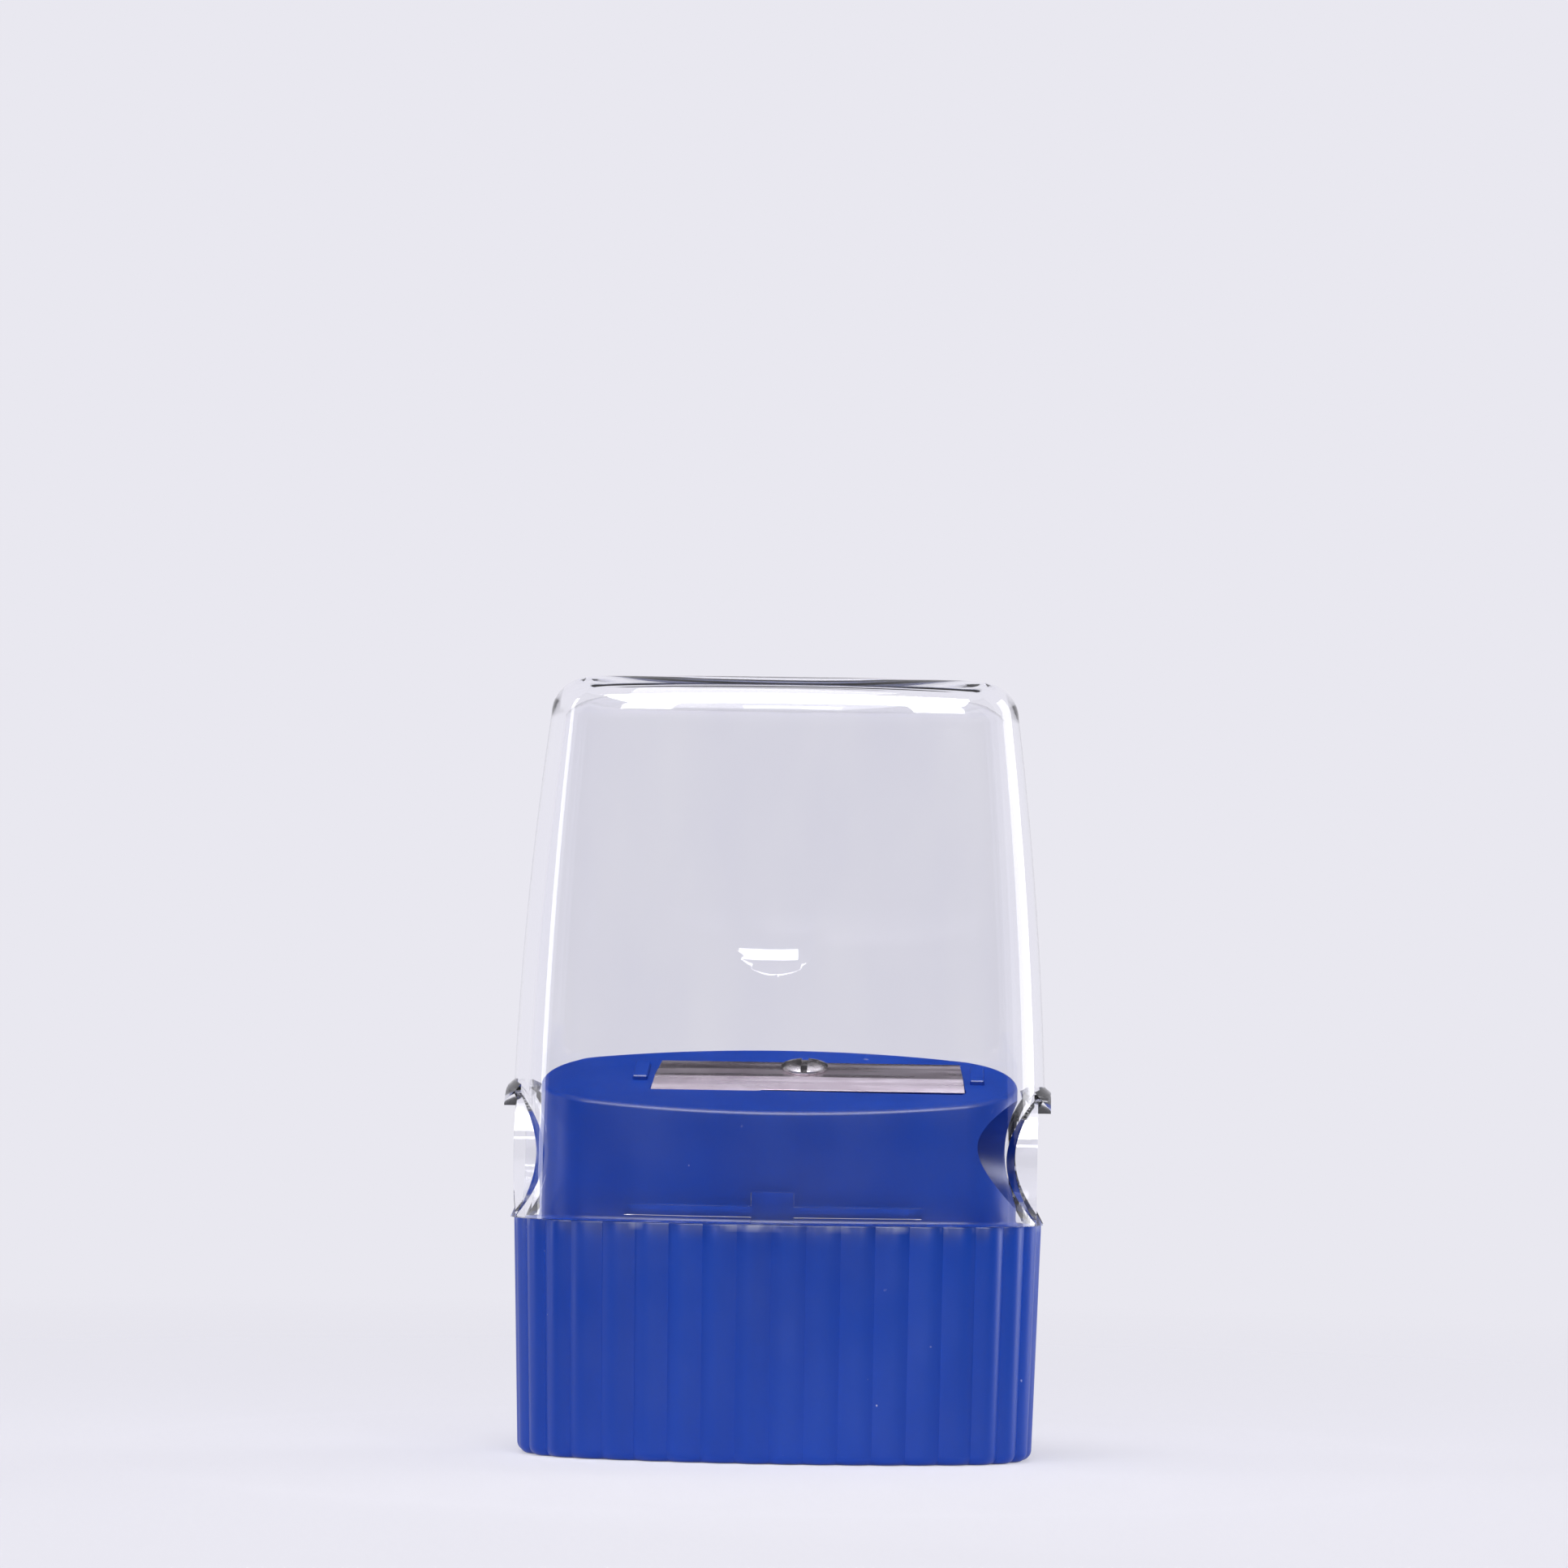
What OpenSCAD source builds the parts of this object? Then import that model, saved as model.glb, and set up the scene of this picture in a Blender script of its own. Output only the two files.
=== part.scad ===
// Covered oval pencil sharpener, in millimetres.
// X runs along the oval, -Y is the front, +Z is up, and the origin is under the
// middle of the grip. The pencil goes in at the +X end, through the cover's port.
// Every wall follows one oval: four arcs on four fixed centres, so a single
// number, the radius of its end arcs, sets the size of each outline.

/* [Oval] */
// Distance of the end arcs' centres from the middle
end_offset = 11.9; // [11:0.1:13]
// Distance of the long arcs' centres from the middle
bow_offset = 35; // [30:1:45]

/* [Grip] */
// End radius of the grip at its top
grip_r = 7.75; // [7.5:0.05:8]
// Height of the ribbed grip
grip_h = 17.5; // [16:0.5:20]
// How much narrower the grip's end radius is at the foot
grip_draft = 0.5; // [0:0.1:0.8]
// Number of ribs round the grip
rib_count = 38; // [30:2:44]
// Depth of the valleys between the ribs
rib_depth = 0.35; // [0.1:0.05:0.5]
// Radius of the grip's lower edge
foot_edge = 0.8; // [0.4:0.1:1.2]
// Wall of the hollow grip
grip_wall = 1.7; // [1.4:0.1:2]
// Plastic between the hollow and the top of the grip
grip_roof = 2; // [1.5:0.1:3]

/* [Sharpener block] */
// End radius of the block above the grip
block_r = 5.85; // [5.7:0.05:6]
// Height of the middle of the slanted deck above the grip
deck_h = 10.4; // [10:0.1:11.5]
// Slope of the deck, rising to the back
deck_slope = 15.6; // [12:0.2:18]

/* [Pencil hole] */
// Radius of the straight pencil guide
bore_r = 3.9; // [3.6:0.05:4]
// Half angle of the sharpened point
cone_angle = 11.5; // [11:0.5:12.5]
// Where the point of the cone lies along X
cone_tip_x = -6; // [-7:0.1:-5.5]
// How far the cone breaks through the deck, which opens the slit for the shavings
cone_rise = 0.06; // [0.04:0.02:0.1]

/* [Blade] */
// Length of the cutting edge side
blade_len = 23.1; // [22:0.1:23.6]
// How much shorter the back edge is
blade_taper = 0.9; // [0:0.1:1.2]
// Depth of the blade, from the cutting edge to the back edge
blade_depth = 5.8; // [5.4:0.1:6.4]
// Thickness of the blade
blade_t = 0.5; // [0.4:0.05:0.6]
// Width of the ground bevel
bevel_w = 2; // [1:0.1:2.4]
// Middle of the blade along X
blade_x = 2.2; // [1.8:0.1:2.6]
// Cutting edge, measured up the deck from the deck's middle
edge_v = -2.4; // [-2.8:0.1:-2]
// Depth of the blade's seat in the deck
seat_depth = 0.1; // [0.05:0.05:0.2]

/* [Screw] */
// Place of the screw along X
screw_x = 1.8; // [1:0.1:3]
// Radius of the screw's head
head_r = 1.75; // [1.5:0.05:2]
// Height of the domed head
head_h = 0.55; // [0.4:0.05:0.8]
// Radius of the screw's shank
shank_r = 0.95; // [0.8:0.05:1.1]
// Length of the shank
shank_len = 5.5; // [4:0.5:7]

/* [Cover] */
// End radius of the cover at its mouth
cover_r = 8.05; // [8:0.05:8.3]
// Height of the cover above the grip
cover_h = 40.3; // [36:0.1:44]
// Wall of the cover
cover_wall = 1.1; // [1:0.05:1.3]
// Radius of the long curve that draws the walls in towards the top
cover_curve = 284; // [250:2:400]
// Radius of the cover's top edge
cover_edge = 2.8; // [2:0.1:3.4]
// Radius of the pencil port in each end of the cover
port_r = 4.95; // [4.85:0.05:5.1]
// Wall of the collar round each port
collar_wall = 0.65; // [0.5:0.05:0.8]
// Reach of the collars from the middle
collar_x = 19.3; // [19:0.1:19.6]
// Height of the ports' centre above the grip
port_h = 4.7; // [4.6:0.05:5]
// Reach of the finger lip over each port, from the middle
lip_x = 20.25; // [20:0.05:20.5]
// Diameter of the thumb dimple in the front
dimple_d = 9; // [6:0.5:11]
// Depth of the thumb dimple
dimple_depth = 0.45; // [0.2:0.05:0.6]
// Height of the thumb dimple above the grip
dimple_h = 22.4; // [18:0.2:28]
// Half length of the locating ribs inside the mouth
snap_half = 10.8; // [8:0.1:11]
// Height of the locating ribs
snap_h = 0.8; // [0.5:0.1:1.2]
// Width of the locating key in the middle of the ribs
key_w = 3.1; // [2:0.1:4]
// Height of the locating key
key_h = 2.35; // [1.5:0.05:3]

/* [Hidden] */
$fn = 96;
blue = [0.09, 0.2, 0.55];
steel = [0.75, 0.75, 0.77];
clear = [0.85, 0.9, 0.95, 0.4];
far = 60;
reach = norm([end_offset, bow_offset]);
bow_angle = atan(end_offset / bow_offset);
bow_steps = 6;
end_steps = 11;
rib_steps = 6;
edge_steps = 5;
curve_steps = 7;
fit_gap = 0.12;
cover_roof = 1.3;
inner_edge = 2;
rib_z = 0.5;
lip_half = 3.4;
collar_from_x = 14;
stop_w = 1.1;
stop_depth = 3.9;
stop_gap = 0.4;
stop_h = 0.35;
ground_from_x = -1.2;
unground_step = 0.3;
blade_edge_t = 0.08;
slot_in_head = 0.5;
tip_r = 0.35;
deck_z = grip_h + deck_h;
seat_back = edge_v + blade_depth;
screw_v = edge_v + blade_depth * 0.72;
cone_len = bore_r / sin(cone_angle) * cos(cone_angle);
draft_at_foot = grip_r - grip_draft;

// ---- the oval ----

// Point of the oval whose outward normal is turned by angle a from the front.
function oval_point(r, a) =
    let (side = sign(sin(a)), face = cos(a) >= 0 ? -1 : 1, b = acos(abs(cos(a))))
    b < bow_angle
        ? [side * (r + reach) * sin(b), face * ((r + reach) * cos(b) - bow_offset)]
        : [side * (end_offset + r * sin(b)), face * r * cos(b)];

// Half depth of the oval, front to middle.
function oval_half(r) = r + reach - bow_offset;

// The normals' angles in the first quarter, from the front to the +X end.
quarter = concat(
    [for (i = [0 : bow_steps - 1]) bow_angle * i / bow_steps],
    [for (i = [0 : end_steps - 1]) bow_angle + (90 - bow_angle) * i / end_steps]
);
last = len(quarter) - 1;
around = concat(
    quarter,
    [90],
    [for (i = [last : -1 : 1]) 180 - quarter[i]],
    [for (b = quarter) 180 + b],
    [270],
    [for (i = [last : -1 : 1]) 360 - quarter[i]]
);

function oval(r) = [for (a = around) oval_point(r, a)];
function ring(points, z) = [for (p = points) [p[0], p[1], z]];

// Normal's angle at distance s along the oval of end radius r, from the front.
function arc_deg(length, radius) = length / radius * 180 / PI;
function bow_len(r) = (r + reach) * bow_angle * PI / 180;
function quarter_len(r) = bow_len(r) + r * (90 - bow_angle) * PI / 180;
function angle_at(r, s) =
    let (q = floor(s / quarter_len(r)), t = s - q * quarter_len(r))
    let (u = q % 2 == 0 ? t : quarter_len(r) - t)
    let (b = u < bow_len(r)
        ? arc_deg(u, r + reach)
        : bow_angle + arc_deg(u - bow_len(r), r))
    q % 2 == 0 ? q * 90 + b : (q + 1) * 90 - b;

// The grip's outline with ribs of the given depth, a valley at the middle of the front.
function ribbed_oval(r, depth) =
    let (n = rib_count * rib_steps, pitch = 4 * quarter_len(grip_r) / n)
    [for (i = [0 : n - 1])
        let (valley = 1 - abs(sin(180 * i / rib_steps)))
        oval_point(r - depth * valley, angle_at(grip_r, i * pitch))];

// Closed solid through a list of rings with equal counts. The first ring faces down.
module loft(rings) {
    n = len(rings[0]);
    top = len(rings) - 1;
    polyhedron(
        points = [for (r = rings) each r],
        faces = concat(
            [[for (i = [0 : n - 1]) i]],
            [for (k = [0 : top - 1], i = [0 : n - 1])
                let (j = (i + 1) % n)
                [k * n + i, (k + 1) * n + i, (k + 1) * n + j, k * n + j]],
            [[for (i = [n - 1 : -1 : 0]) top * n + i]]
        )
    );
}

module oval_block(r, z0, z1) {
    translate([0, 0, z0]) linear_extrude(height = z1 - z0) polygon(oval(r));
}

// ---- places ----

// Deck axes: X as it is, Y up the slope, Z out of the deck, origin at its middle.
module on_deck() {
    translate([0, 0, deck_z]) rotate([deck_slope, 0, 0]) children();
}

// Pencil axes: Z runs out of the hole along the pencil, origin at the cone's tip.
module on_pencil_axis() {
    on_deck() translate([cone_tip_x, edge_v, cone_rise])
        rotate([0, 90 + cone_angle, 0]) children();
}

// Screw axes: Z out of the head, origin on the blade's top under the head.
module at_screw() {
    on_deck() translate([screw_x, screw_v, blade_t - seat_depth]) children();
}

module at_both_ends() {
    children();
    mirror([1, 0, 0]) children();
}

// ---- body: ribbed grip, sharpener block, pencil hole ----

// From the ceiling of the hollow down its smooth wall, and up the ribbed outside.
module grip() {
    hollow = ribbed_oval(draft_at_foot - grip_wall, 0);
    loft(concat(
        [ring(hollow, grip_h - grip_roof), ring(hollow, 0)],
        [for (i = [0 : edge_steps])
            let (a = 90 * i / edge_steps)
            ring(ribbed_oval(draft_at_foot - foot_edge * (1 - sin(a)), rib_depth),
                foot_edge * (1 - cos(a)))],
        [ring(ribbed_oval(grip_r, rib_depth), grip_h)]
    ));
}

module pencil_hole() {
    tip_z = tip_r * cone_len / bore_r;
    on_pencil_axis() rotate_extrude()
        polygon([[0, tip_z], [tip_r, tip_z], [bore_r, cone_len], [bore_r, far], [0, far]]);
}

module blade_seat() {
    on_deck() translate([0, 0, -seat_depth]) linear_extrude(height = 1)
        polygon(blade_outline(0.1));
}

module end_stop(x) {
    on_deck() translate([x - stop_w / 2, seat_back - stop_depth, -seat_depth])
        cube([stop_w, stop_depth, seat_depth + stop_h]);
}

module screw_hole() {
    at_screw() translate([0, 0, -shank_len]) cylinder(h = far, r = shank_r);
}

module sharpener_block() {
    difference() {
        oval_block(block_r, grip_h - grip_roof / 2, grip_h + deck_h + block_r);
        on_deck() translate([-far / 2, -far / 2, 0]) cube([far, far, far]);
        pencil_hole();
        blade_seat();
        screw_hole();
    }
}

module sharpener_body() {
    beside_blade = blade_len / 2 + stop_gap + stop_w / 2;
    color(blue) {
        grip();
        sharpener_block();
        end_stop(blade_x - beside_blade);
        end_stop(blade_x + beside_blade);
    }
}

// ---- blade and its screw ----

// Outline of the blade on the deck, grown by gap on every side.
function blade_outline(gap) =
    let (front = blade_len / 2 + gap, back = (blade_len - blade_taper) / 2 + gap)
    [
        [blade_x - front, edge_v - unground_step - gap],
        [ground_from_x - unground_step, edge_v - unground_step - gap],
        [ground_from_x, edge_v - gap],
        [blade_x + front, edge_v - gap],
        [blade_x + back, seat_back + gap],
        [blade_x - back, seat_back + gap]
    ];

module blade() {
    bevel = atan((blade_t - blade_edge_t) / bevel_w);
    color(steel) difference() {
        on_deck() translate([0, 0, -seat_depth]) difference() {
            linear_extrude(height = blade_t) polygon(blade_outline(0));
            translate([-far / 2, edge_v + bevel_w, blade_t]) rotate([180 + bevel, 0, 0])
                translate([0, 0, -far]) cube([far, far, far]);
        }
        screw_hole();
    }
}

module blade_screw() {
    rim_h = head_h * 0.4;
    color(steel) at_screw() difference() {
        union() {
            translate([0, 0, -shank_len]) cylinder(h = shank_len, r = shank_r);
            cylinder(h = rim_h, r = head_r);
            translate([0, 0, rim_h])
                cylinder(h = head_h - rim_h, r1 = head_r, r2 = head_r * 0.6);
        }
        translate([-slot_in_head / 2, -far / 2, rim_h]) cube([slot_in_head, far, far]);
    }
}

// ---- cover ----

// End radius of the cover's outside at height h above its mouth.
function cover_at(h) = cover_r - h * h / 2 / cover_curve;

// Rings of a wall set in from the cover's outside by inset, below a rounded top.
function cover_rings(inset, height, edge) =
    let (straight = height - edge, r0 = cover_at(straight) - inset)
    concat(
        [for (i = [0 : curve_steps - 1])
            let (h = straight * i / curve_steps)
            ring(oval(cover_at(h) - inset), grip_h + h)],
        [for (i = [0 : edge_steps])
            let (a = 90 * i / edge_steps)
            ring(oval(r0 - edge * (1 - cos(a))), grip_h + straight + edge * sin(a))]
    );

module along_port() {
    translate([0, 0, grip_h + port_h]) rotate([0, 90, 0]) children();
}

module port_collar() {
    along_port() translate([0, 0, collar_from_x])
        cylinder(h = collar_x - collar_from_x, r = port_r + collar_wall);
}

// Lip over the port, for a fingertip that pulls the cover off.
module finger_lip() {
    intersection() {
        along_port() translate([0, 0, collar_x - 1])
            cylinder(h = lip_x - collar_x + 1, r1 = port_r + collar_wall + 1.2,
                r2 = port_r + 0.15);
        translate([0, -lip_half, grip_h + port_h]) cube([far, 2 * lip_half, far]);
    }
}

module dimple() {
    ball = (pow(dimple_d / 2, 2) + pow(dimple_depth, 2)) / (2 * dimple_depth);
    lean = asin(dimple_h / cover_curve);
    away = ball - dimple_depth;
    translate([0, -oval_half(cover_at(dimple_h)) - away * cos(lean),
        grip_h + dimple_h + away * sin(lean)]) sphere(r = ball);
}

// Ribs and key that hold the cover square on the block, front and back.
module locating_ribs() {
    difference() {
        intersection() {
            oval_block(cover_r - cover_wall / 2, grip_h, grip_h + key_h);
            union() {
                translate([-snap_half, -far / 2, grip_h + rib_z])
                    cube([2 * snap_half, far, snap_h]);
                translate([-key_w / 2, -far / 2, grip_h]) cube([key_w, far, key_h]);
            }
        }
        oval_block(block_r + fit_gap, 0, far);
    }
}

module shavings_cover() {
    color(clear) {
        difference() {
            union() {
                loft(cover_rings(0, cover_h, cover_edge));
                at_both_ends() port_collar();
                at_both_ends() finger_lip();
            }
            loft(concat([ring(oval(cover_r - cover_wall), grip_h - 1)],
                cover_rings(cover_wall, cover_h - cover_roof, inner_edge)));
            at_both_ends() along_port() translate([0, 0, collar_from_x])
                cylinder(h = far, r = port_r);
            translate([-far / 2, -far / 2, 0]) cube([far, far, grip_h]);
            dimple();
        }
        locating_ribs();
    }
}

sharpener_body();
shavings_cover();
blade();
blade_screw();
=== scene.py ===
import math

import bmesh
import bpy
from mathutils import Matrix, Vector


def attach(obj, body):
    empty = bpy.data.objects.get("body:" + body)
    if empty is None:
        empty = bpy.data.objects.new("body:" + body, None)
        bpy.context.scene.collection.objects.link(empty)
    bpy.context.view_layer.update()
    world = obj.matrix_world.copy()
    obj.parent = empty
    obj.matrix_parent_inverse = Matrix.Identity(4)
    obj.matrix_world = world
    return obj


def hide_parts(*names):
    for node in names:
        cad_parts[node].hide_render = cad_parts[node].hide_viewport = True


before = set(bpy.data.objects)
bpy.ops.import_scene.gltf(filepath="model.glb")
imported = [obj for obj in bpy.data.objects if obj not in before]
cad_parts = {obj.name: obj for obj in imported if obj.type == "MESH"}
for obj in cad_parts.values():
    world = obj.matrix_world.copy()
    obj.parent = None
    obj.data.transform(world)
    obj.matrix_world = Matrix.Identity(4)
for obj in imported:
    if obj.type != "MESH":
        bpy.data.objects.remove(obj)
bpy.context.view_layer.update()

MM = 0.001

# ---- the sizes of the solids, in millimetres, as in the part's source ----

END_OFFSET = 11.9
BOW_OFFSET = 35.0
REACH = math.hypot(END_OFFSET, BOW_OFFSET)
BOW_ANGLE = math.atan(END_OFFSET / BOW_OFFSET)

GRIP_R = 7.75
GRIP_H = 17.5
FOOT_R = GRIP_R - 0.5
FOOT_EDGE = 0.8
RIB_COUNT = 38
RIB_DEPTH = 0.35
GRIP_WALL = 1.7
GRIP_ROOF = 2.0

BLOCK_R = 5.85
DECK_Z = GRIP_H + 10.4
DECK_SLOPE = math.radians(15.6)

BORE_R = 3.9
CONE_ANGLE = math.radians(11.5)
CONE_TIP_X = -6.0
CONE_RISE = 0.06
TIP_R = 0.35
CONE_LEN = BORE_R / math.tan(CONE_ANGLE)

BLADE_LEN = 23.1
BLADE_TAPER = 0.9
BLADE_DEPTH = 5.8
BLADE_T = 0.5
BLADE_X = 2.2
BLADE_EDGE_T = 0.08
BEVEL_W = 2.0
EDGE_V = -2.4
SEAT_DEPTH = 0.1
SEAT_BACK = EDGE_V + BLADE_DEPTH
GROUND_FROM_X = -1.2
UNGROUND_STEP = 0.3
STOP_W = 1.1
STOP_DEPTH = 3.9
STOP_GAP = 0.4
STOP_H = 0.35

SCREW_X = 1.8
SCREW_V = EDGE_V + BLADE_DEPTH * 0.72
HEAD_R = 1.75
HEAD_H = 0.55
SHANK_R = 0.95
SHANK_LEN = 5.5
SLOT_IN_HEAD = 0.5

COVER_R = 8.05
COVER_H = 40.3
COVER_WALL = 1.1
COVER_CURVE = 284.0
COVER_EDGE = 2.8
COVER_ROOF = 1.3
INNER_EDGE = 2.0
PORT_R = 4.95
COLLAR_WALL = 0.65
COLLAR_X = 19.3
COLLAR_FROM_X = 14.0
PORT_Z = GRIP_H + 4.7
LIP_X = 20.25
LIP_HALF = 3.4
DIMPLE_D = 9.0
DIMPLE_DEPTH = 0.45
DIMPLE_H = 22.4
SNAP_HALF = 10.8
SNAP_Z = 0.5
SNAP_H = 0.8
KEY_W = 3.1
KEY_H = 2.35
FIT_GAP = 0.12

# how far the cutting tools reach: past the blade, past other surfaces, below the mouth, and
# past the whole object
CUT_BLADE = 2.0
CUT_PAST = 4.0
CUT_BELOW = 1.0
FAR = 60.0

# steps round a turned hole or ring
HOLE_STEPS = 160

# ---- the oval: four arcs on fixed centres, sized by the radius of its ends ----


def oval_point(r, a):
    """Point of the oval whose outward normal is turned by a from the front, -Y, toward +X."""
    side = 1 if math.sin(a) >= 0 else -1
    face = -1 if math.cos(a) >= 0 else 1
    b = math.acos(min(1.0, abs(math.cos(a))))
    if b < BOW_ANGLE:
        return side * (r + REACH) * math.sin(b), face * ((r + REACH) * math.cos(b) - BOW_OFFSET)
    return side * (END_OFFSET + r * math.sin(b)), face * r * math.cos(b)


def oval_half(r):
    """How far the oval reaches to the front and to the back."""
    return r + REACH - BOW_OFFSET


def quarter_len(r):
    """Length of a quarter of the oval."""
    return (r + REACH) * BOW_ANGLE + r * (math.pi / 2 - BOW_ANGLE)


def angle_at(r, s):
    """Normal's angle at distance s along the oval of end radius r, from the front."""
    quarter = quarter_len(r)
    q, t = divmod(s, quarter)
    u = t if q % 2 == 0 else quarter - t
    bow = (r + REACH) * BOW_ANGLE
    b = u / (r + REACH) if u < bow else BOW_ANGLE + (u - bow) / r
    return q * math.pi / 2 + b if q % 2 == 0 else (q + 1) * math.pi / 2 - b


def angles_around(r, count):
    """Normals' angles of points at even distances round the oval."""
    pitch = 4 * quarter_len(r) / count
    return [angle_at(r, i * pitch) for i in range(count)]


def ring(r, angles, height):
    """Closed ring of points on the oval. height is a number, or a function of x and y."""
    points = [oval_point(r, a) for a in angles]
    if callable(height):
        return [(x, y, height(x, y)) for x, y in points]
    return [(x, y, height) for x, y in points]


# ---- meshes ----


def link_mesh(name, verts, faces):
    """New object from points in millimetres, with its faces turned outward."""
    mesh = bpy.data.meshes.new(name)
    mesh.from_pydata([tuple(c * MM for c in v) for v in verts], [], faces)
    bm = bmesh.new()
    bm.from_mesh(mesh)
    bmesh.ops.recalc_face_normals(bm, faces=bm.faces)
    bm.to_mesh(mesh)
    bm.free()
    obj = bpy.data.objects.new(name, mesh)
    bpy.context.scene.collection.objects.link(obj)
    return obj


def loft(name, rings):
    """Closed solid through rings with equal counts, capped at both ends."""
    n = len(rings[0])
    verts = [p for r in rings for p in r]
    faces = [[i for i in range(n)]]
    for k in range(len(rings) - 1):
        for i in range(n):
            j = (i + 1) % n
            faces.append([k * n + i, k * n + j, (k + 1) * n + j, (k + 1) * n + i])
    faces.append([(len(rings) - 1) * n + i for i in range(n)])
    return link_mesh(name, verts, faces)


def lathe(name, profile, place, steps=96):
    """Closed solid turned from (radius, height) pairs about Z, and placed by a matrix in millimetres."""
    rings = []
    for radius, height in profile:
        turn = []
        for i in range(steps):
            a = 2 * math.pi * i / steps
            turn.append(tuple(place @ Vector((radius * math.cos(a), radius * math.sin(a), height))))
        rings.append(turn)
    return loft(name, rings)


def prism(name, outline, low, high, place=Matrix.Identity(4)):
    """Closed solid on an outline of (x, y) pairs between two heights, placed by a matrix."""
    rings = [[tuple(place @ Vector((x, y, z))) for x, y in outline] for z in (low, high)]
    return loft(name, rings)


def box(name, low, high, place=Matrix.Identity(4)):
    """Block between two corners, placed by a matrix."""
    outline = [(low[0], low[1]), (high[0], low[1]), (high[0], high[1]), (low[0], high[1])]
    return prism(name, outline, low[2], high[2], place)


def combine(target, operation, tools):
    """Cuts, joins or crosses the target with each tool in turn, and deletes the tools."""
    for tool in tools:
        modifier = target.modifiers.new(tool.name, "BOOLEAN")
        modifier.operation = operation
        modifier.solver = "EXACT"
        modifier.object = tool
    graph = bpy.context.evaluated_depsgraph_get()
    mesh = bpy.data.meshes.new_from_object(target.evaluated_get(graph))
    target.modifiers.clear()
    target.data = mesh
    for tool in tools:
        bpy.data.objects.remove(tool)
    return target


def smooth(obj, degrees):
    """Smooth shading that stays crisp at edges sharper than the angle."""
    for face in obj.data.polygons:
        face.use_smooth = True
    obj.data.set_sharp_from_angle(angle=math.radians(degrees))


def bevelled(obj, width, segments, degrees=35):
    """Rounds the edges sharper than the angle by a width in millimetres."""
    modifier = obj.modifiers.new("edges", "BEVEL")
    modifier.width = width * MM
    modifier.segments = segments
    modifier.limit_method = "ANGLE"
    modifier.angle_limit = math.radians(degrees)
    return obj


def finish_piece(obj, node, body, material):
    """Hides the CAD part that the piece stands in for, hangs the piece on the body it moves with, and
    gives it its material.
    """
    obj.data.materials.clear()
    obj.data.materials.append(material)
    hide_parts(node)
    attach(obj, body)


# ---- places, in millimetres ----

ON_DECK = Matrix.Translation((0, 0, DECK_Z)) @ Matrix.Rotation(DECK_SLOPE, 4, "X")
ON_PENCIL = (
    ON_DECK
    @ Matrix.Translation((CONE_TIP_X, EDGE_V, CONE_RISE))
    @ Matrix.Rotation(math.pi / 2 + CONE_ANGLE, 4, "Y")
)
AT_SCREW = ON_DECK @ Matrix.Translation((SCREW_X, SCREW_V, BLADE_T - SEAT_DEPTH))


def along_port(side):
    """Z runs out through the port in the end on that side."""
    return Matrix.Translation((0, 0, PORT_Z)) @ Matrix.Rotation(side * math.pi / 2, 4, "Y")


# ---- materials ----


class Shader:
    """A material's node tree, with the Principled shader and short ways to add nodes."""

    def __init__(self, name):
        self.material = bpy.data.materials.new(name)
        self.material.use_nodes = True
        self.tree = self.material.node_tree
        self.bsdf = self.tree.nodes["Principled BSDF"]
        self.output = self.tree.nodes["Material Output"]
        self.place = self.node("ShaderNodeTexCoord").outputs["Object"]

    def node(self, kind, **settings):
        new = self.tree.nodes.new(kind)
        for key, value in settings.items():
            setattr(new, key, value)
        return new

    def link(self, source, target):
        self.tree.links.new(source, target)

    def stretched(self, scale):
        """The object's coordinates, scaled along each axis."""
        mapping = self.node("ShaderNodeMapping")
        mapping.inputs["Scale"].default_value = scale
        self.link(self.place, mapping.inputs["Vector"])
        return mapping.outputs["Vector"]

    def noise(self, scale, detail, stretch=(1, 1, 1), distortion=0.0):
        """Noise of so many waves to a metre, with a finer or coarser grain along each axis."""
        noise = self.node("ShaderNodeTexNoise")
        noise.inputs["Scale"].default_value = scale
        noise.inputs["Detail"].default_value = detail
        noise.inputs["Distortion"].default_value = distortion
        self.link(self.stretched(stretch), noise.inputs["Vector"])
        return noise.outputs["Fac"]

    def remap(self, value, low, high, to_low=0.0, to_high=1.0):
        """The value, carried from one range into another and held inside it."""
        remap = self.node("ShaderNodeMapRange")
        self.link(value, remap.inputs["Value"])
        for key, number in (("From Min", low), ("From Max", high),
                            ("To Min", to_low), ("To Max", to_high)):
            remap.inputs[key].default_value = number
        return remap.outputs["Result"]

    def math(self, operation, a, b):
        node = self.node("ShaderNodeMath", operation=operation)
        for socket, value in zip(node.inputs, (a, b)):
            if isinstance(value, (int, float)):
                socket.default_value = value
            else:
                self.link(value, socket)
        return node.outputs["Value"]

    def mix(self, factor, a, b):
        """Colour between a and b, each a linear RGB triple or a socket."""
        node = self.node("ShaderNodeMix", data_type="RGBA")
        self.link(factor, node.inputs["Factor"])
        for socket, value in ((node.inputs[6], a), (node.inputs[7], b)):
            if isinstance(value, tuple):
                socket.default_value = (*value, 1.0)
            else:
                self.link(value, socket)
        return node.outputs[2]

    def bump(self, height, distance, strength):
        """Bumpy look, as deep as a distance in millimetres."""
        bump = self.node("ShaderNodeBump")
        bump.inputs["Strength"].default_value = strength
        bump.inputs["Distance"].default_value = distance * MM
        self.link(height, bump.inputs["Height"])
        self.link(bump.outputs["Normal"], self.bsdf.inputs["Normal"])

    def set(self, **values):
        """Sets numbers on the Principled shader's own sockets."""
        for key, value in values.items():
            self.bsdf.inputs[key.replace("_", " ")].default_value = value


def srgb(r, g, b):
    """Linear colour from 0 to 255 sRGB values."""
    def linear(c):
        c /= 255
        return c / 12.92 if c <= 0.04045 else ((c + 0.055) / 1.055) ** 2.4
    return linear(r), linear(g), linear(b)
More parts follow.
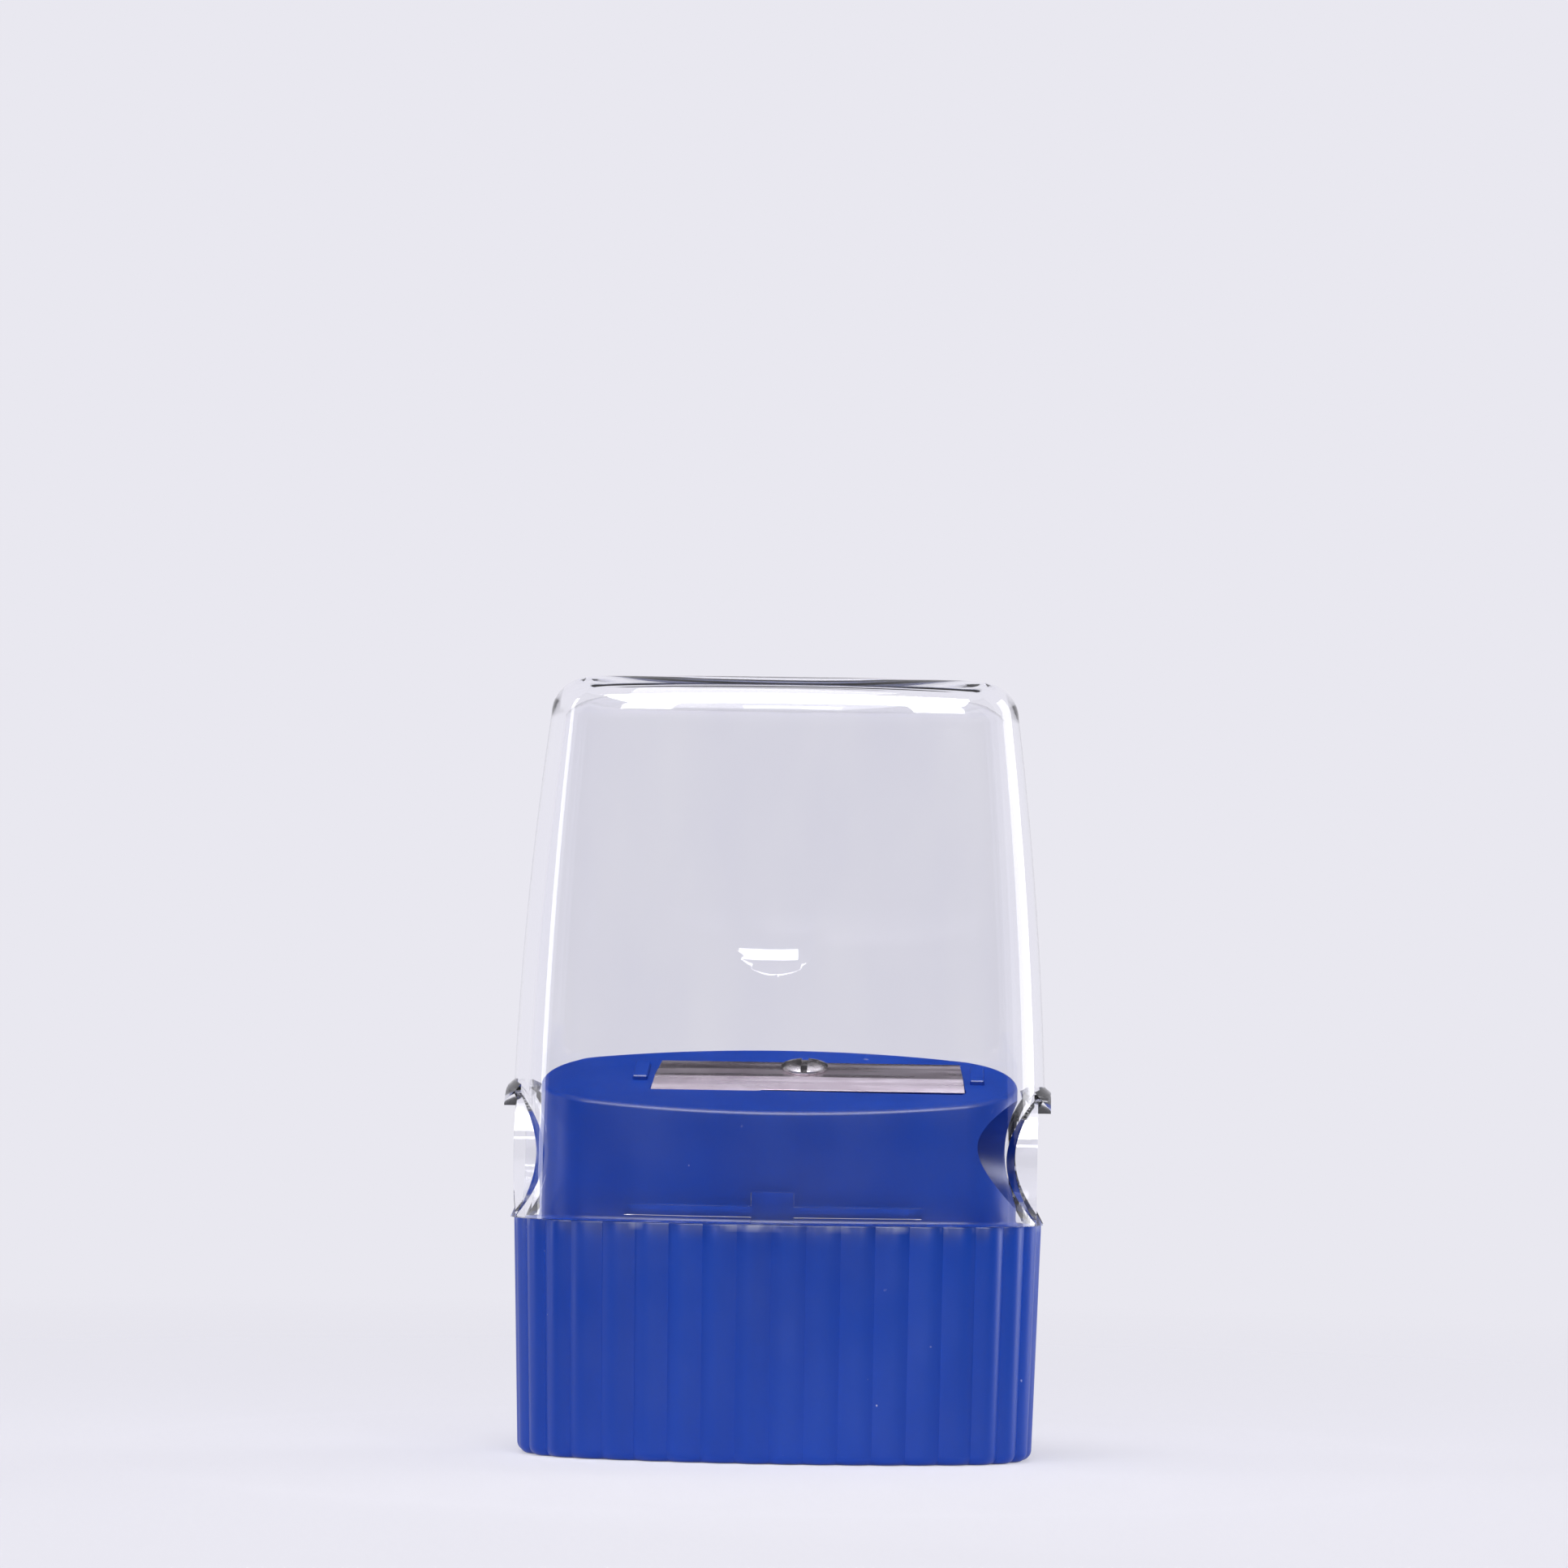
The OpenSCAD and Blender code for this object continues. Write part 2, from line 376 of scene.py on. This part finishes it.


# the pale band at the seam, a painted highlight along the cover's bottom edge together with scuffs,
# in millimetres: where it starts below and is full, and where it starts to fade and ends above
SEAM_SHEEN_FROM = 0.6
SEAM_SHEEN_FULL = 0.05
SEAM_SHEEN_FADES = 0.02
SEAM_SHEEN_ENDS = 0.12


def blue_plastic():
    """Moulded blue plastic: flow marks, a fine skin, white dust, and a pale band at the seam that is a
    painted highlight with scuffs.
    """
    s = Shader("blue_plastic")
    flow = s.noise(70, 4, (1, 1, 0.35), 0.6)
    colour = s.mix(s.remap(flow, 0.3, 0.7), srgb(0, 59, 163), srgb(4, 69, 179))
    specks = s.remap(s.noise(1500, 1.0), 0.79, 0.83)
    patches = s.remap(s.noise(90, 2.0), 0.5, 0.62)
    dust = s.math("MULTIPLY", specks, patches)
    z = s.node("ShaderNodeSeparateXYZ")
    s.link(s.place, z.inputs["Vector"])
    below = s.remap(z.outputs["Z"], (GRIP_H - SEAM_SHEEN_FROM) * MM, (GRIP_H - SEAM_SHEEN_FULL) * MM)
    above = s.remap(z.outputs["Z"], (GRIP_H + SEAM_SHEEN_ENDS) * MM, (GRIP_H + SEAM_SHEEN_FADES) * MM)
    seam = s.math("MULTIPLY", below, above)
    # painted highlight with scuffs: the top of the grip turns pale in patches where the cover's bottom
    # edge meets it
    seam_sheen_and_scuffs = s.math("MULTIPLY", seam, s.remap(s.noise(420, 3.0, (1, 1, 0.5)), 0.52, 0.72))
    dust_and_seam_sheen = s.math("MAXIMUM", dust, s.math("MULTIPLY", seam_sheen_and_scuffs, 0.6))
    s.link(s.mix(dust_and_seam_sheen, colour, srgb(196, 203, 224)), s.bsdf.inputs["Base Color"])
    fine = s.noise(3200, 2.0)
    rough = s.math("ADD", s.remap(s.noise(160, 3.0), 0.3, 0.7, 0.30, 0.42),
                   s.math("MULTIPLY", dust_and_seam_sheen, 0.3))
    s.link(rough, s.bsdf.inputs["Roughness"])
    s.bump(s.math("ADD", s.math("MULTIPLY", fine, 0.1), flow), 0.03, 0.3)
    s.set(IOR=1.49, Specular_IOR_Level=0.3)
    return s.material


def clear_plastic():
    """Clear moulded plastic, a little wavy and hazy, that lets the lamps through.

    Light that a dull surface has scattered meets it without haze, so that it isn't counted twice.
    """
    s = Shader("clear_plastic")
    haze = s.noise(240, 3.0, (1, 1, 0.3))
    path = s.node("ShaderNodeLightPath")
    looked_at = s.math("LESS_THAN", path.outputs["Diffuse Depth"], 0.5)
    rough = s.math("MULTIPLY", s.remap(haze, 0.35, 0.75, 0.0, 0.06), looked_at)
    s.link(rough, s.bsdf.inputs["Roughness"])
    tint = s.mix(s.remap(haze, 0.3, 0.7), (0.955, 0.955, 0.985), (0.985, 0.985, 1.0))
    s.link(tint, s.bsdf.inputs["Base Color"])
    s.set(IOR=1.49, Transmission_Weight=1.0)
    waves = s.noise(55, 1.0, (1, 1, 0.5))
    s.bump(waves, 0.05, 0.12)
    lets_through = s.node("ShaderNodeBsdfTransparent")
    lets_through.inputs["Color"].default_value = (0.97, 0.97, 0.99, 1)
    mixer = s.node("ShaderNodeMixShader")
    s.link(path.outputs["Is Shadow Ray"], mixer.inputs["Fac"])
    s.link(s.bsdf.outputs["BSDF"], mixer.inputs[1])
    s.link(lets_through.outputs["BSDF"], mixer.inputs[2])
    s.link(mixer.outputs["Shader"], s.output.inputs["Surface"])
    return s.material


def blade_steel():
    """Rolled and ground steel, with fine lines along the blade and a few marks; its grey has a slight
    pink cast, a painted reflection.
    """
    s = Shader("blade_steel")
    lines = s.noise(900, 3.0, (0.05, 1, 1))
    marks = s.noise(300, 4.0)
    shade = s.math("MULTIPLY", lines, marks)
    # painted reflection: the steel's grey carries a slight pink cast, as of pink surroundings mirrored
    # in it
    s.link(s.mix(s.remap(shade, 0.15, 0.4), srgb(206, 192, 201), srgb(232, 221, 229)),
           s.bsdf.inputs["Base Color"])
    s.link(s.remap(lines, 0.3, 0.7, 0.2, 0.36), s.bsdf.inputs["Roughness"])
    s.set(Metallic=1.0)
    s.bump(lines, 0.01, 0.5)
    return s.material


def screw_steel():
    """Plated screw with faint turning rings and small dents."""
    s = Shader("screw_steel")
    dents = s.noise(900, 2.0)
    s.link(s.mix(s.remap(dents, 0.3, 0.7), srgb(176, 170, 172), srgb(222, 217, 218)),
           s.bsdf.inputs["Base Color"])
    s.link(s.remap(dents, 0.3, 0.7, 0.16, 0.32), s.bsdf.inputs["Roughness"])
    s.set(Metallic=1.0)
    s.bump(dents, 0.004, 0.3)
    return s.material


# ---- body ----

# points to a rib, rows up the grip and the block, and steps in a rounded edge or fillet
GRIP_STEPS = 16
GRIP_ROWS = 10
BLOCK_ROWS = 6
EDGE_STEPS = 8
FILLET_STEPS = 4

# edges, in millimetres
CEILING_EDGE = 0.4
MOUTH_EDGE = 0.15
SEAM_EDGE = 0.12
DECK_EDGE = 0.3
BASE_FILLET = 0.35
STOP_EDGE = 0.08

# the middle of a rounded edge lies this share of its radius inside the corner
EDGE_MIDDLE = 0.3

# play round the blade in its seat, and how deep the stops are rooted below the seat
SEAT_GAP = 0.1
STOP_ROOT = 0.2


def ribbed_ring(r, angles, height):
    """The grip's outline: round lobes with sharp valleys, one of them at the middle of the front."""
    points = []
    for i, a in enumerate(angles):
        valley = 1 - abs(math.sin(math.pi * i / GRIP_STEPS))
        points.append((*oval_point(r - RIB_DEPTH * valley, a), height))
    return points


def on_slope(drop):
    """Height of the slanted deck at x and y, less a drop."""
    return lambda x, y: DECK_Z + y * math.tan(DECK_SLOPE) - drop


def body_rings():
    """From the ceiling of the hollow down its wall, up the ribs, over the seam and up the block."""
    angles = angles_around(GRIP_R, RIB_COUNT * GRIP_STEPS)
    hollow = FOOT_R - GRIP_WALL
    ceiling = GRIP_H - GRIP_ROOF
    rings = [
        ring(hollow - CEILING_EDGE, angles, ceiling),
        ring(hollow, angles, ceiling - CEILING_EDGE),
        ring(hollow, angles, MOUTH_EDGE),
        ring(hollow + MOUTH_EDGE, angles, 0),
    ]
    for i in range(EDGE_STEPS + 1):
        a = math.pi / 2 * i / EDGE_STEPS
        rings.append(ribbed_ring(FOOT_R - FOOT_EDGE * (1 - math.sin(a)), angles,
                                 FOOT_EDGE * (1 - math.cos(a))))
    top = GRIP_H - SEAM_EDGE
    for i in range(1, GRIP_ROWS + 1):
        share = i / GRIP_ROWS
        rings.append(ribbed_ring(FOOT_R + (GRIP_R - FOOT_R) * share, angles,
                                 FOOT_EDGE + (top - FOOT_EDGE) * share))
    middle = SEAM_EDGE * EDGE_MIDDLE
    rings.append(ribbed_ring(GRIP_R - middle, angles, GRIP_H - middle))
    rings.append(ribbed_ring(GRIP_R - SEAM_EDGE, angles, GRIP_H))
    for i in range(FILLET_STEPS + 1):
        a = math.pi / 2 * i / FILLET_STEPS
        rings.append(ring(BLOCK_R + BASE_FILLET * (1 - math.sin(a)), angles,
                          GRIP_H + BASE_FILLET * (1 - math.cos(a))))
    base = GRIP_H + BASE_FILLET
    block_top = on_slope(DECK_EDGE)
    for i in range(1, BLOCK_ROWS):
        share = i / BLOCK_ROWS
        rings.append(ring(BLOCK_R, angles, lambda x, y: base + (block_top(x, y) - base) * share))
    for i in range(EDGE_STEPS + 1):
        a = math.pi / 2 * i / EDGE_STEPS
        rings.append(ring(BLOCK_R - DECK_EDGE * (1 - math.cos(a)), angles,
                          on_slope(DECK_EDGE * (1 - math.sin(a)))))
    return rings


def blade_outline(gap):
    """Outline of the blade on the deck, wider by a gap all round."""
    front = BLADE_LEN / 2 + gap
    back = (BLADE_LEN - BLADE_TAPER) / 2 + gap
    return [
        (BLADE_X - front, EDGE_V - UNGROUND_STEP - gap),
        (GROUND_FROM_X - UNGROUND_STEP, EDGE_V - UNGROUND_STEP - gap),
        (GROUND_FROM_X, EDGE_V - gap),
        (BLADE_X + front, EDGE_V - gap),
        (BLADE_X + back, SEAT_BACK + gap),
        (BLADE_X - back, SEAT_BACK + gap),
    ]


def make_body(material):
    body = loft("body_shell", body_rings())
    tip_z = TIP_R * CONE_LEN / BORE_R
    cone_and_bore = [(TIP_R, tip_z), (BORE_R, CONE_LEN), (BORE_R, FAR)]
    pencil_hole = lathe("pencil_hole", cone_and_bore, ON_PENCIL, HOLE_STEPS)
    seat = prism("seat", blade_outline(SEAT_GAP), -SEAT_DEPTH, CUT_PAST, ON_DECK)
    screw_hole = lathe("screw_hole", [(SHANK_R, -SHANK_LEN), (SHANK_R, CUT_PAST)], AT_SCREW)
    combine(body, "DIFFERENCE", [pencil_hole, seat, screw_hole])
    stops = []
    beside = BLADE_LEN / 2 + STOP_GAP + STOP_W / 2
    for name, x in (("stop_left", BLADE_X - beside), ("stop_right", BLADE_X + beside)):
        low = (x - STOP_W / 2, SEAT_BACK - STOP_DEPTH, -SEAT_DEPTH - STOP_ROOT)
        high = (x + STOP_W / 2, SEAT_BACK, STOP_H)
        stops.append(bevelled(box(name, low, high, ON_DECK), STOP_EDGE, 1))
    combine(body, "UNION", stops)
    smooth(body, 34)
    finish_piece(body, "sharpener_body", "sharpener", material)


# ---- blade and screw ----

# thinnest that the blade gets, its rounded edges, and the smallest edge in degrees that is rounded
BLADE_T_MIN = 0.03
BLADE_ROUND = 0.035
BLADE_ROUND_FROM = 8

# rolled rim of the head, the dome above it, which stops just short of its pole, and the slot
RIM_ROLL = 0.1
RIM_UNDERCUT = 0.08
RIM_STEPS = 5
DOME_FROM = HEAD_H * 0.36
DOME_TURN = math.pi / 2 * 0.985
DOME_STEPS = 10
SLOT_FLOOR = HEAD_H * 0.32
SCREW_ROUND = 0.03


def make_blade(material):
    """Plate with its bevel ground along the edge, except at the left, where a blunt strip is left."""
    slope = (BLADE_T - BLADE_EDGE_T) / BEVEL_W

    def section(x_share, front):
        top = max(BLADE_T_MIN, BLADE_EDGE_T + (front - EDGE_V) * slope)
        profile = [
            (front, 0),
            (front, top),
            (EDGE_V + BEVEL_W, BLADE_T),
            (SEAT_BACK, BLADE_T),
            (SEAT_BACK, 0),
        ]
        points = []
        for v, w in profile:
            taper = BLADE_TAPER / 2 * (v - EDGE_V) / BLADE_DEPTH
            x = BLADE_X + (BLADE_LEN / 2 - taper) * (2 * x_share - 1)
            points.append(tuple(ON_DECK @ Vector((x, v, w - SEAT_DEPTH))))
        return points

    step = (GROUND_FROM_X - BLADE_X) / BLADE_LEN + 0.5
    step_w = UNGROUND_STEP / BLADE_LEN
    rings = [
        section(0, EDGE_V - UNGROUND_STEP),
        section(step - step_w, EDGE_V - UNGROUND_STEP),
        section(step, EDGE_V),
        section(1, EDGE_V),
    ]
    blade = loft("blade_plate", rings)
    hole = lathe("blade_hole", [(SHANK_R, -CUT_BLADE), (SHANK_R, CUT_BLADE)], AT_SCREW)
    combine(blade, "DIFFERENCE", [hole])
    bevelled(blade, BLADE_ROUND, 2, BLADE_ROUND_FROM)
    smooth(blade, 30)
    finish_piece(blade, "blade", "sharpener", material)


def make_screw(material):
    """Domed head with a rolled rim and a slot, on a plain shank."""
    profile = [(SHANK_R, -SHANK_LEN), (SHANK_R, 0), (HEAD_R - RIM_UNDERCUT, 0)]
    for i in range(RIM_STEPS):
        a = math.pi / 8 * (i + 1) - math.pi / 2
        profile.append((HEAD_R - RIM_ROLL + RIM_ROLL * math.cos(a), RIM_ROLL + RIM_ROLL * math.sin(a)))
    for i in range(1, DOME_STEPS + 1):
        share = i / DOME_STEPS
        height = DOME_FROM + (HEAD_H - DOME_FROM) * math.sin(share * math.pi / 2)
        profile.append((HEAD_R * math.cos(share * DOME_TURN), height))
    screw = lathe("screw_head", profile, AT_SCREW)
    low = (-SLOT_IN_HEAD / 2, -CUT_PAST, SLOT_FLOOR)
    high = (SLOT_IN_HEAD / 2, CUT_PAST, CUT_PAST)
    combine(screw, "DIFFERENCE", [box("screw_slot", low, high, AT_SCREW)])
    bevelled(screw, SCREW_ROUND, 2, 40)
    smooth(screw, 30)
    finish_piece(screw, "blade_screw", "sharpener", material)


# ---- cover ----

# points round the cover, rows up its wall and rows in its rounded top edge
COVER_COUNT = 320
COVER_ROWS = 36
CAP_ROWS = 10

# the lip's root inside the collar's end, its flare there, and its thickness at the tip
LIP_ROOT = 1.0
LIP_FLARE = 1.2
LIP_TIP = 0.15

RIB_CHAMFER = 0.2

# the cap of the dimple's ball: its half angle, its steps, and the radius of the flat at its pole
CAP_ANGLE = 0.5
CAP_STEPS = 24
POLE_R = 0.004


def cover_at(h):
    """End radius of the cover's outside at a height over the mouth."""
    return COVER_R - h * h / 2 / COVER_CURVE


def cover_rings(angles, inset, height, edge):
    """Rings up the cover's wall, set in by the inset, and round its top edge."""
    straight = height - edge
    r0 = cover_at(straight) - inset
    rings = []
    for i in range(COVER_ROWS):
        h = straight * i / COVER_ROWS
        rings.append(ring(cover_at(h) - inset, angles, GRIP_H + h))
    for i in range(CAP_ROWS + 1):
        a = math.pi / 2 * i / CAP_ROWS
        rings.append(ring(r0 - edge * (1 - math.cos(a)), angles,
                          GRIP_H + straight + edge * math.sin(a)))
    return rings


def finger_lip(side):
    """Small eave over the port, for a fingertip that pulls the cover off."""
    outer = PORT_R + COLLAR_WALL + LIP_FLARE
    profile = [(outer, COLLAR_X - LIP_ROOT), (PORT_R + LIP_TIP, LIP_X)]
    lip = lathe("lip", profile, along_port(side), HOLE_STEPS)
    keep = box("keep", (-FAR, -LIP_HALF, PORT_Z), (FAR, LIP_HALF, FAR))
    return combine(lip, "INTERSECT", [keep])


def locating_ribs():
    """Two ribs and a key at the front and the back of the mouth, short of the block by the fit gap."""
    angles = angles_around(COVER_R, COVER_COUNT)
    mid = COVER_R - COVER_WALL / 2
    shell = prism("ribs", [oval_point(mid, a) for a in angles], GRIP_H, GRIP_H + KEY_H)
    bars = box("bars", (-SNAP_HALF, -FAR, GRIP_H + SNAP_Z),
               (SNAP_HALF, FAR, GRIP_H + SNAP_Z + SNAP_H))
    key = box("key", (-KEY_W / 2, -FAR, GRIP_H), (KEY_W / 2, FAR, GRIP_H + KEY_H))
    combine(bars, "UNION", [key])
    combine(shell, "INTERSECT", [bars])
    inside = prism("inside", [oval_point(BLOCK_R + FIT_GAP, a) for a in angles], 0, FAR)
    return bevelled(combine(shell, "DIFFERENCE", [inside]), RIB_CHAMFER, 1, 50)


def make_cover(material):
    """Clear shell with a port and a lip in each end, a thumb dimple, ribs and a key."""
    angles = angles_around(COVER_R, COVER_COUNT)
    cover = loft("cover_shell", cover_rings(angles, 0, COVER_H, COVER_EDGE))
    joined = []
    cutters = []
    for side in (-1, 1):
        collar_r = PORT_R + COLLAR_WALL
        collar = lathe("collar", [(collar_r, COLLAR_FROM_X), (collar_r, COLLAR_X)],
                       along_port(side), HOLE_STEPS)
        joined += [collar, finger_lip(side)]
        cutters.append(lathe("port", [(PORT_R, COLLAR_FROM_X), (PORT_R, FAR)],
                             along_port(side), HOLE_STEPS))
    combine(cover, "UNION", joined)
    inner = [ring(COVER_R - COVER_WALL, angles, GRIP_H - CUT_BELOW)]
    inner += cover_rings(angles, COVER_WALL, COVER_H - COVER_ROOF, INNER_EDGE)
    cutters.insert(0, loft("cavity", inner))
    cutters.append(box("below", (-FAR, -FAR, 0), (FAR, FAR, GRIP_H)))
    cutters.append(dimple_ball())
    combine(cover, "DIFFERENCE", cutters)
    combine(cover, "UNION", [locating_ribs()])
    cover.data.validate()
    smooth(cover, 30)
    finish_piece(cover, "shavings_cover", "cover", material)


def dimple_ball():
    """The ball that dishes the front of the cover for a thumb."""
    ball = ((DIMPLE_D / 2) ** 2 + DIMPLE_DEPTH ** 2) / (2 * DIMPLE_DEPTH)
    lean = math.asin(DIMPLE_H / COVER_CURVE)
    away = ball - DIMPLE_DEPTH
    centre = Vector((0, -oval_half(cover_at(DIMPLE_H)) - away * math.cos(lean),
                     GRIP_H + DIMPLE_H + away * math.sin(lean)))
    profile = []
    for i in range(CAP_STEPS + 1):
        a = CAP_ANGLE * i / CAP_STEPS
        profile.append((max(ball * math.sin(a), POLE_R), ball * math.cos(a)))
    profile.append((ball * math.sin(CAP_ANGLE), 0))
    facing = Matrix.Translation(centre) @ Matrix.Rotation(-math.pi / 2 + lean, 4, "X")
    return lathe("dimple", profile, facing, HOLE_STEPS)


# ---- camera, lights and stage ----

# places and heights in metres, lens and sensor in millimetres
CAMERA_DISTANCE = 0.450
CAMERA_TURN = math.radians(2.47)
CAMERA_HEIGHT = 0.0351
CAMERA_ROLL = math.radians(0.887)
AIM = Vector((0, 0, 0.05001))
LENS = 138.4
SENSOR_WIDTH = 36

BACKGROUND = srgb(233, 232, 240)
WORLD_LIGHT = 0.6

# the floor: half its width in millimetres, where its fade starts and ends in metres, and its glow
FLOOR_HALF = 300
FADE_FROM = 0.05
FADE_TO = 0.22
FLOOR_GLOW = 0.5

# the dark cloth: a ring round the table in millimetres, its light, the height in metres above
# which its back half is mirrored too, and how many surfaces lead in and out of the cover
CLOTH_R = 600
CLOTH_LOW = -300
CLOTH_HIGH = 720
CLOTH_STEPS = 64
CLOTH_LIGHT = 0.06
CLOTH_BACK_FROM = 0.15
COVER_SURFACES = 4

# how often light may turn inside the clear cover
BOUNCES = 24
MIRROR_BOUNCES = 16


def add_camera():
    """Camera where the photo was taken from, as far as the outlines tell."""
    data = bpy.data.cameras.new("camera")
    data.lens = LENS
    data.sensor_width = SENSOR_WIDTH
    camera = bpy.data.objects.new("camera", data)
    bpy.context.scene.collection.objects.link(camera)
    place = Vector((CAMERA_DISTANCE * math.sin(CAMERA_TURN),
                    -CAMERA_DISTANCE * math.cos(CAMERA_TURN), CAMERA_HEIGHT))
    look = (AIM - place).to_track_quat("-Z", "Y").to_matrix().to_4x4()
    camera.matrix_world = Matrix.Translation(place) @ look @ Matrix.Rotation(CAMERA_ROLL, 4, "Z")
    bpy.context.scene.camera = camera


def add_area(name, place, aim, size, power, reflected_only=False, refracted=False):
    """Area lamp of so many watts, aimed at a point.

    Lamps that are reflected only leave dull surfaces dark. One that is refracted also shows to
    rays that pass through the cover.
    """
    data = bpy.data.lights.new(name, "AREA")
    data.shape = "RECTANGLE"
    data.size, data.size_y = size
    data.energy = power
    light = bpy.data.objects.new(name, data)
    light.visible_transmission = refracted
    light.visible_diffuse = not reflected_only
    bpy.context.scene.collection.objects.link(light)
    look = (Vector(aim) - Vector(place)).to_track_quat("-Z", "Y").to_matrix().to_4x4()
    light.matrix_world = Matrix.Translation(place) @ look


def seen_directly(add_node, link):
    """1 for rays that show the background: straight, in a mirror, or through clear plastic, as long
    as no dull surface has scattered them."""
    path = add_node("ShaderNodeLightPath")
    seen = path.outputs["Is Camera Ray"]
    for operation, ray in (("MAXIMUM", "Is Glossy Ray"), ("MAXIMUM", "Is Transmission Ray"),
                           ("GREATER_THAN", "Diffuse Depth")):
        both = add_node("ShaderNodeMath")
        both.operation = operation
        link(seen, both.inputs[0])
        link(path.outputs[ray], both.inputs[1])
        seen = both.outputs["Value"]
    return seen


def add_floor():
    """Paper under the object, which takes its shadow and fades into the background further out."""
    s = Shader("floor_paper")
    s.set(Roughness=0.9)
    s.bsdf.inputs["Base Color"].default_value = (*BACKGROUND, 1)
    glow = s.node("ShaderNodeEmission")
    glow.inputs["Color"].default_value = (*BACKGROUND, 1)
    lit = s.node("ShaderNodeMixShader")
    seen = seen_directly(s.tree.nodes.new, s.tree.links.new)
    s.link(s.math("MULTIPLY", seen, FLOOR_GLOW), lit.inputs["Fac"])
    s.link(s.bsdf.outputs["BSDF"], lit.inputs[1])
    s.link(glow.outputs["Emission"], lit.inputs[2])
    distance = s.node("ShaderNodeVectorMath", operation="LENGTH")
    s.link(s.place, distance.inputs[0])
    fade = s.remap(distance.outputs["Value"], FADE_FROM, FADE_TO)
    faded = s.node("ShaderNodeMixShader")
    clear = s.node("ShaderNodeBsdfTransparent")
    s.link(fade, faded.inputs["Fac"])
    s.link(lit.outputs["Shader"], faded.inputs[1])
    s.link(clear.outputs["BSDF"], faded.inputs[2])
    s.link(faded.outputs["Shader"], s.output.inputs["Surface"])
    corners = [(x * FLOOR_HALF, y * FLOOR_HALF, 0) for x, y in ((-1, -1), (1, -1), (1, 1), (-1, 1))]
    floor = link_mesh("floor", corners, [[0, 1, 2, 3]])
    floor.data.materials.append(s.material)


def cloth_shows(s):
    """1 for rays that a glossy surface has mirrored and that end on a part of the cloth they see.

    All of them see its front half. Those that went in and out of the cover see its high back too.
    """
    path = s.node("ShaderNodeLightPath")
    place = s.node("ShaderNodeSeparateXYZ")
    s.link(s.place, place.inputs["Vector"])
    refracted = path.outputs["Transmission Depth"]
    in_and_out = s.math("MULTIPLY", s.math("GREATER_THAN", refracted, COVER_SURFACES - 0.5),
                        s.math("LESS_THAN", refracted, COVER_SURFACES + 0.5))
    high = s.math("GREATER_THAN", place.outputs["Z"], CLOTH_BACK_FROM)
    behind = s.math("MULTIPLY", in_and_out, high)
    in_front = s.math("LESS_THAN", place.outputs["Y"], 0.0)
    mirrored = s.math("GREATER_THAN", path.outputs["Glossy Depth"], 0.5)
    return s.math("MULTIPLY", s.math("MAXIMUM", in_front, behind), mirrored)


def add_dark_cloth():
    """Dark cloth round the table, seen only in reflections, as round a glossy object in a studio."""
    s = Shader("dark_cloth")
    dark = s.node("ShaderNodeEmission")
    dark.inputs["Color"].default_value = (*BACKGROUND, 1)
    dark.inputs["Strength"].default_value = CLOTH_LIGHT
    clear = s.node("ShaderNodeBsdfTransparent")
    pick = s.node("ShaderNodeMixShader")
    s.link(cloth_shows(s), pick.inputs["Fac"])
    s.link(clear.outputs["BSDF"], pick.inputs[1])
    s.link(dark.outputs["Emission"], pick.inputs[2])
    s.link(pick.outputs["Shader"], s.output.inputs["Surface"])
    n = CLOTH_STEPS
    turn = [2 * math.pi * i / n for i in range(n)]
    verts = [(CLOTH_R * math.cos(a), CLOTH_R * math.sin(a), z)
             for z in (CLOTH_LOW, CLOTH_HIGH) for a in turn]
    faces = [[i, (i + 1) % n, n + (i + 1) % n, n + i] for i in range(n)]
    cloth = link_mesh("dark_cloth", verts, faces)
    cloth.data.materials.append(s.material)
    cloth.visible_camera = False
    cloth.visible_diffuse = False
    cloth.visible_shadow = False


def set_world():
    """Pale surroundings: plain light on the object, and full strength where they are seen."""
    world = bpy.data.worlds.new("studio")
    bpy.context.scene.world = world
    world.use_nodes = True
    tree = world.node_tree
    background = tree.nodes["Background"]
    background.inputs["Color"].default_value = (*BACKGROUND, 1)
    level = tree.nodes.new("ShaderNodeMapRange")
    level.inputs["To Min"].default_value = WORLD_LIGHT
    level.inputs["To Max"].default_value = 1.0
    tree.links.new(seen_directly(tree.nodes.new, tree.links.new), level.inputs["Value"])
    tree.links.new(level.outputs["Result"], background.inputs["Strength"])


def set_bounces():
    """Enough bounces for the clear cover, and no blur, which would light what is under it twice."""
    cycles = bpy.context.scene.cycles
    cycles.max_bounces = BOUNCES
    cycles.transmission_bounces = BOUNCES
    cycles.glossy_bounces = MIRROR_BOUNCES
    cycles.blur_glossy = 0


add_camera()
set_world()
set_bounces()
add_floor()
add_dark_cloth()
add_area("overhead", (-0.05, -0.16, 0.45), (0, 0, 0.03), (0.3, 0.2), 0.75, refracted=True)
add_area("left_strip", (-0.42, -0.015, 0.13), (0, 0, 0.04), (0.05, 0.34), 0.3)
add_area("right_strip", (0.38, 0.18, 0.13), (0, 0, 0.04), (0.18, 0.34), 0.6)
add_area("front_strip", (0, -0.47, 0.232), (0, 0, 0.04), (0.18, 0.035), 0.22, reflected_only=True)
add_area("top_card", (0, -0.25, 0.33), (0, 0, 0.055), (0.5, 0.22), 7.5, reflected_only=True)
for side in (-1, 1):
    add_area("corner_card", (side * 0.24, -0.38, 0.29), (0, 0, 0.055), (0.1, 0.2), 1.0,
             reflected_only=True)

make_body(blue_plastic())
make_blade(blade_steel())
make_screw(screw_steel())
make_cover(clear_plastic())

bpy.context.scene.view_settings.view_transform = "Standard"
